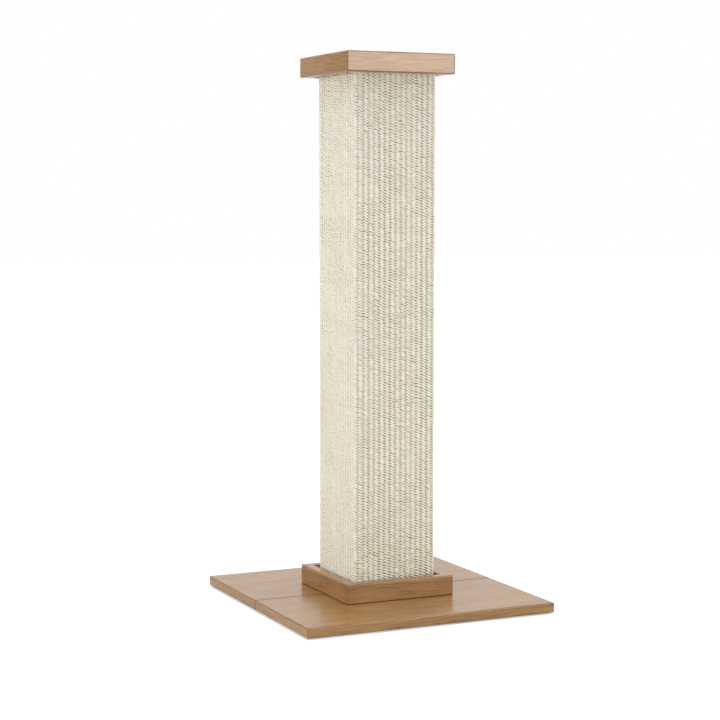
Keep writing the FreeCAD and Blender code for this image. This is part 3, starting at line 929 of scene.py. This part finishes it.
def lay_backing(settings):
    """The backing cloth, a flat cut wrapped round the core and butted down the rear, and the
    width and length of that cut."""
    radius = CORNER_RADIUS - (POST_HALF - CORE_HALF) + CORE_CLEARANCE
    walked, spots = wrap_stations(FLAT_HALF, radius)
    bm = bmesh.new()
    bmesh.ops.create_grid(bm, x_segments=len(spots) - 1, y_segments=HEIGHT_STEPS, size=1)
    cloth = bm.loops.layers.uv.new("cloth")
    bake = bm.loops.layers.uv.new("OFBake")
    length = MAT_HIGH.z - MAT_LOW.z
    half_gap = settings.seam_gap / 2
    for vert in bm.verts:
        column = round((vert.co.x + 1) / 2 * (len(spots) - 1))
        share = (vert.co.y + 1) / 2
        for loop in vert.link_loops:
            loop[cloth].uv = (walked[column], share * length)
            loop[bake].uv = (walked[column] / walked[-1], share)
        x, y = spots[column]
        if column in (0, len(spots) - 1):
            x = half_gap if column == 0 else -half_gap
        vert.co = (x, y, MAT_LOW.z + share * length)
    bmesh.ops.recalc_face_normals(bm, faces=bm.faces)
    outside = max(bm.faces, key=lambda face: face.calc_center_median().y)
    if outside.normal.y < 0:
        bmesh.ops.reverse_faces(bm, faces=bm.faces)
    bmesh.ops.solidify(bm, geom=bm.faces, thickness=-settings.backing_thickness)
    mesh = bpy.data.meshes.new("mat_backing")
    bm.to_mesh(mesh)
    bm.free()
    return link("mat_backing", mesh), (walked[-1], length)


# Operators -----------------------------------------------------------------------------------------


class WrapMat(bpy.types.Operator):
    """Wrap the post in its sisal mat: the backing, the ribs and the ties between them"""

    bl_idname = "scratching_post.wrap_mat"
    bl_label = "Wrap Sisal Mat"

    def execute(self, context):
        settings = context.scene.post_mat
        weave = Weave(settings)
        colours = settings.yarn_colour, settings.straw_colour, settings.tie_and_groove_shade_colour
        stitch_yarn = yarn("bleached_sisal", colours)
        tie_yarn = yarn("sisal_tie", colours, tie=True)
        first_rib = RIB_WIDTH / 2 - FLAT_HALF
        grooves = RIBS_PER_SIDE + 1
        for side, turn in TURNS.items():
            presses = staple_presses(side)
            stitch = rib_stitch(weave)
            ribs = lay_columns("ribs", side, stitch, weave, RIBS_PER_SIDE, first_rib, presses)
            settle(ribs, stitch_yarn, turn)
            tie = groove_tie(weave)
            ties = lay_columns("ties", side, tie, weave, grooves, -FLAT_HALF, presses)
            if side == "rear":
                without_column(ties, grooves, RIBS_PER_SIDE // 2)
            settle(ties, tie_yarn, turn)
            corner = lay_columns("corner", side, rib_stitch(weave), weave, 1, 0.0)
            bend_round_corner(corner.data)
            settle(corner, stitch_yarn, turn)
        backing, flat = lay_backing(settings)
        settle(backing, backing_cloth(settings))
        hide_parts("sisal_mat")
        return {"FINISHED"}


class FinishBoards(bpy.types.Operator):
    """Finish the laminated boards and rails, and the raw boards and dowels inside them"""

    bl_idname = "scratching_post.finish_boards"
    bl_label = "Finish Boards"

    def execute(self, context):
        settings = context.scene.post_wood
        lengthwise = laminate("laminate_rails_x", "x", settings, "mitred")
        crosswise = laminate("laminate_rails_y", "y", settings, "mitred")
        halves = laminate("laminate_boards", "x", settings, "halved")
        wear(["base_board_front", "base_board_rear"], halves)
        wear(["cap_top_panel"], laminate("laminate_panel", "x", settings, None))
        for rail in ("collar_rail", "cap_rail"):
            wear([f"{rail}_front", f"{rail}_rear"], lengthwise)
            wear([f"{rail}_left", f"{rail}_right"], crosswise)
        boards = [f"core_board_{side}" for side in TURNS]
        boards += ["foot_block", "head_block", "collar_backing_board", "cap_backing_board"]
        wear(boards, raw_board(settings))
        wear(["base_dowels", "collar_dowels", "cap_dowels"], dowel_wood(settings))
        return {"FINISHED"}


class FinishHardware(bpy.types.Operator):
    """Finish the bolts, washers, inserts, screws and staples, and the feet"""

    bl_idname = "scratching_post.finish_hardware"
    bl_label = "Finish Hardware"

    def execute(self, context):
        steel = ["base_bolts", "base_washers", "threaded_inserts", "core_screws", "cap_screws"]
        steel += ["foot_block_screws", "head_block_screws"]
        steel += ["foot_staples", "head_staples", "seam_staples"]
        wear(steel, zinc_steel())
        wear(["foot_pads"], pad_rubber())
        return {"FINISHED"}


# Stage ---------------------------------------------------------------------------------------------


FLOOR_WIDTH = 30
POST_MIDDLE = (0, 0, 0.45)
CAP_MIDDLE = (0, 0, 0.8)

# Where each lamp hangs, and its width and height.
LAMPS = {
    "key": ((-2.25, -0.75, 0.6), (1.6, 1.6)),
    "fill": ((0.95, -1.25, 0.45), (0.8, 0.8)),
    "top": ((-0.2, -0.3, 2.4), (1.6, 1.6)),
    "back": ((0.7, 2.1, 0.9), (1.6, 1.2)),
    "side": ((2.1, 0.8, 0.8), (1.2, 1.2)),
}
SOFTBOX = ((0.92, -1.97, 1.05), (0.8, 0.7))


def ray_kinds(graph):
    """1 for a camera ray, and 1 for a ray that gloss or glass sends."""
    path = graph.node("ShaderNodeLightPath")
    kinds = ("Camera", "Glossy", "Transmission")
    camera, glossy, sent_through = [Signal(graph, path.outputs[f"Is {kind} Ray"]) for kind in kinds]
    return camera, graph.maths("MAXIMUM", glossy, sent_through)


def stage_sheet(name, shader_of):
    """A flat square sheet of the stage, a metre across, and its material."""
    bm = bmesh.new()
    bmesh.ops.create_grid(bm, x_segments=1, y_segments=1, size=0.5)
    mesh = bpy.data.meshes.new(name)
    bm.to_mesh(mesh)
    bm.free()
    material, graph = new_material(name)
    graph.node("ShaderNodeOutputMaterial", None, {"Surface": shader_of(graph)})
    mesh.materials.append(material)
    sheet = link(name, mesh)
    return sheet


def floor_shader(graph):
    """White paint that shows as white away from the post, and keeps its shadow near it."""
    shadow_reach = 0.3
    all_white = 0.9
    x, y, _ = graph.split(graph.place())
    away = graph.smooth(graph.maths("SQRT", x * x + y * y), shadow_reach, all_white)
    white = (0.8, 0.8, 0.8, 1)
    painted = graph.signal("ShaderNodeBsdfDiffuse", "BSDF", None, {"Color": white})
    lit = graph.signal("ShaderNodeEmission", "Emission", None, {"Strength": 1.0})
    camera, mirrored = ray_kinds(graph)
    seen = 0.42 + away * 0.58
    reflected = 0.1 + away * 0.4
    share = camera * seen + mirrored * reflected
    glow = graph.signal("ShaderNodeMixShader", "Shader", None, {0: share, 2: lit})
    return graph.signal("ShaderNodeAddShader", "Shader", None, {0: painted, 1: glow})


def lay_floor():
    floor = stage_sheet("studio_floor", floor_shader)
    floor.data.transform(Matrix.Scale(FLOOR_WIDTH, 4))


def flag_shader(graph):
    black = (0.02, 0.02, 0.02, 1)
    return graph.signal("ShaderNodeBsdfDiffuse", "BSDF", None, {"Color": black})


def stand_flag(settings):
    """A black flag that only gloss sees. It takes the white off the faces on the left."""
    flag = stage_sheet("studio_flag", flag_shader)
    size = Matrix.Diagonal((*settings.flag_size, 1, 1))
    upright = Matrix.Rotation(math.pi / 2, 4, "X")
    turned = Matrix.Rotation(settings.flag_turn, 4, "Z")
    flag.data.transform(Matrix.Translation(settings.flag_place) @ turned @ upright @ size)
    for rays in ("camera", "diffuse", "transmission", "volume_scatter", "shadow"):
        setattr(flag, f"visible_{rays}", False)


def light_world(strength):
    """Even light from all round, seen as white."""
    world = bpy.data.worlds.new("studio")
    bpy.context.scene.world = world
    graph = Graph(world)
    camera, mirrored = ray_kinds(graph)
    level = (camera + mirrored) * (1 - strength) + strength
    sockets = {"Color": (1, 1, 1, 1), "Strength": level}
    sky = graph.signal("ShaderNodeBackground", "Background", None, sockets)
    graph.node("ShaderNodeOutputWorld", None, {"Surface": sky})


def hang_lamp(name, place, target, size, power, mirrored=False):
    """A rectangular lamp that points at a target. It either lights, or shows in gloss."""
    lamp = bpy.data.lights.new(name, "AREA")
    lamp.shape = "RECTANGLE"
    lamp.size, lamp.size_y = size
    lamp.energy = power
    holder = bpy.data.objects.new(name, lamp)
    holder.location = place
    aim = Vector(target) - Vector(place)
    holder.rotation_euler = aim.to_track_quat("-Z", "Y").to_euler()
    holder.visible_camera = False
    holder.visible_glossy = mirrored
    holder.visible_diffuse = not mirrored
    bpy.context.scene.collection.objects.link(holder)


def set_camera(settings):
    camera = bpy.data.cameras.new("photo_camera")
    camera.sensor_width = 36
    camera.lens = settings.focal_length
    camera.clip_end = 100
    holder = bpy.data.objects.new("photo_camera", camera)
    holder.location = settings.camera_place
    yaw, pitch = settings.camera_yaw, -settings.camera_pitch
    ahead = Vector(
        (math.cos(yaw) * math.cos(pitch), math.sin(yaw) * math.cos(pitch), math.sin(pitch))
    )
    holder.rotation_euler = ahead.to_track_quat("-Z", "Y").to_euler()
    bpy.context.scene.collection.objects.link(holder)
    bpy.context.scene.camera = holder


class SetStage(bpy.types.Operator):
    """Set the white floor, the soft studio lights and the camera"""

    bl_idname = "scratching_post.set_stage"
    bl_label = "Set Stage"

    def execute(self, context):
        settings = context.scene.post_studio
        lay_floor()
        stand_flag(settings)
        light_world(settings.ambient)
        for name, (place, size) in LAMPS.items():
            hang_lamp(name, place, POST_MIDDLE, size, getattr(settings, f"{name}_power"))
        place, size = SOFTBOX
        hang_lamp("softbox", place, CAP_MIDDLE, size, settings.softbox_power, mirrored=True)
        set_camera(settings)
        context.scene.view_settings.view_transform = "Standard"
        return {"FINISHED"}


class PostPanel(bpy.types.Panel):
    """Scratching Post panel"""

    bl_idname = "SCRATCHING_POST_PT_main"
    bl_label = "Scratching Post"
    bl_space_type = "VIEW_3D"
    bl_region_type = "UI"
    bl_category = "Scratching Post"

    def draw(self, context):
        for group in GROUPS:
            settings = getattr(context.scene, group)
            box = self.layout.box()
            for name in settings.__annotations__:
                box.prop(settings, name)
        for step in STEPS:
            self.layout.operator(step.bl_idname)


GROUPS = {"post_mat": MatSettings, "post_wood": WoodSettings, "post_studio": StudioSettings}
STEPS = (WrapMat, FinishBoards, FinishHardware, SetStage)
CLASSES = (*GROUPS.values(), *STEPS, PostPanel)


def register():
    for cls in CLASSES:
        bpy.utils.register_class(cls)
    for name, group in GROUPS.items():
        setattr(bpy.types.Scene, name, PointerProperty(type=group))


def unregister():
    for name in GROUPS:
        delattr(bpy.types.Scene, name)
    for cls in reversed(CLASSES):
        bpy.utils.unregister_class(cls)


def main():
    register()
    bpy.ops.scratching_post.wrap_mat()
    bpy.ops.scratching_post.finish_boards()
    bpy.ops.scratching_post.finish_hardware()
    bpy.ops.scratching_post.set_stage()


if __name__ == "__main__":
    main()
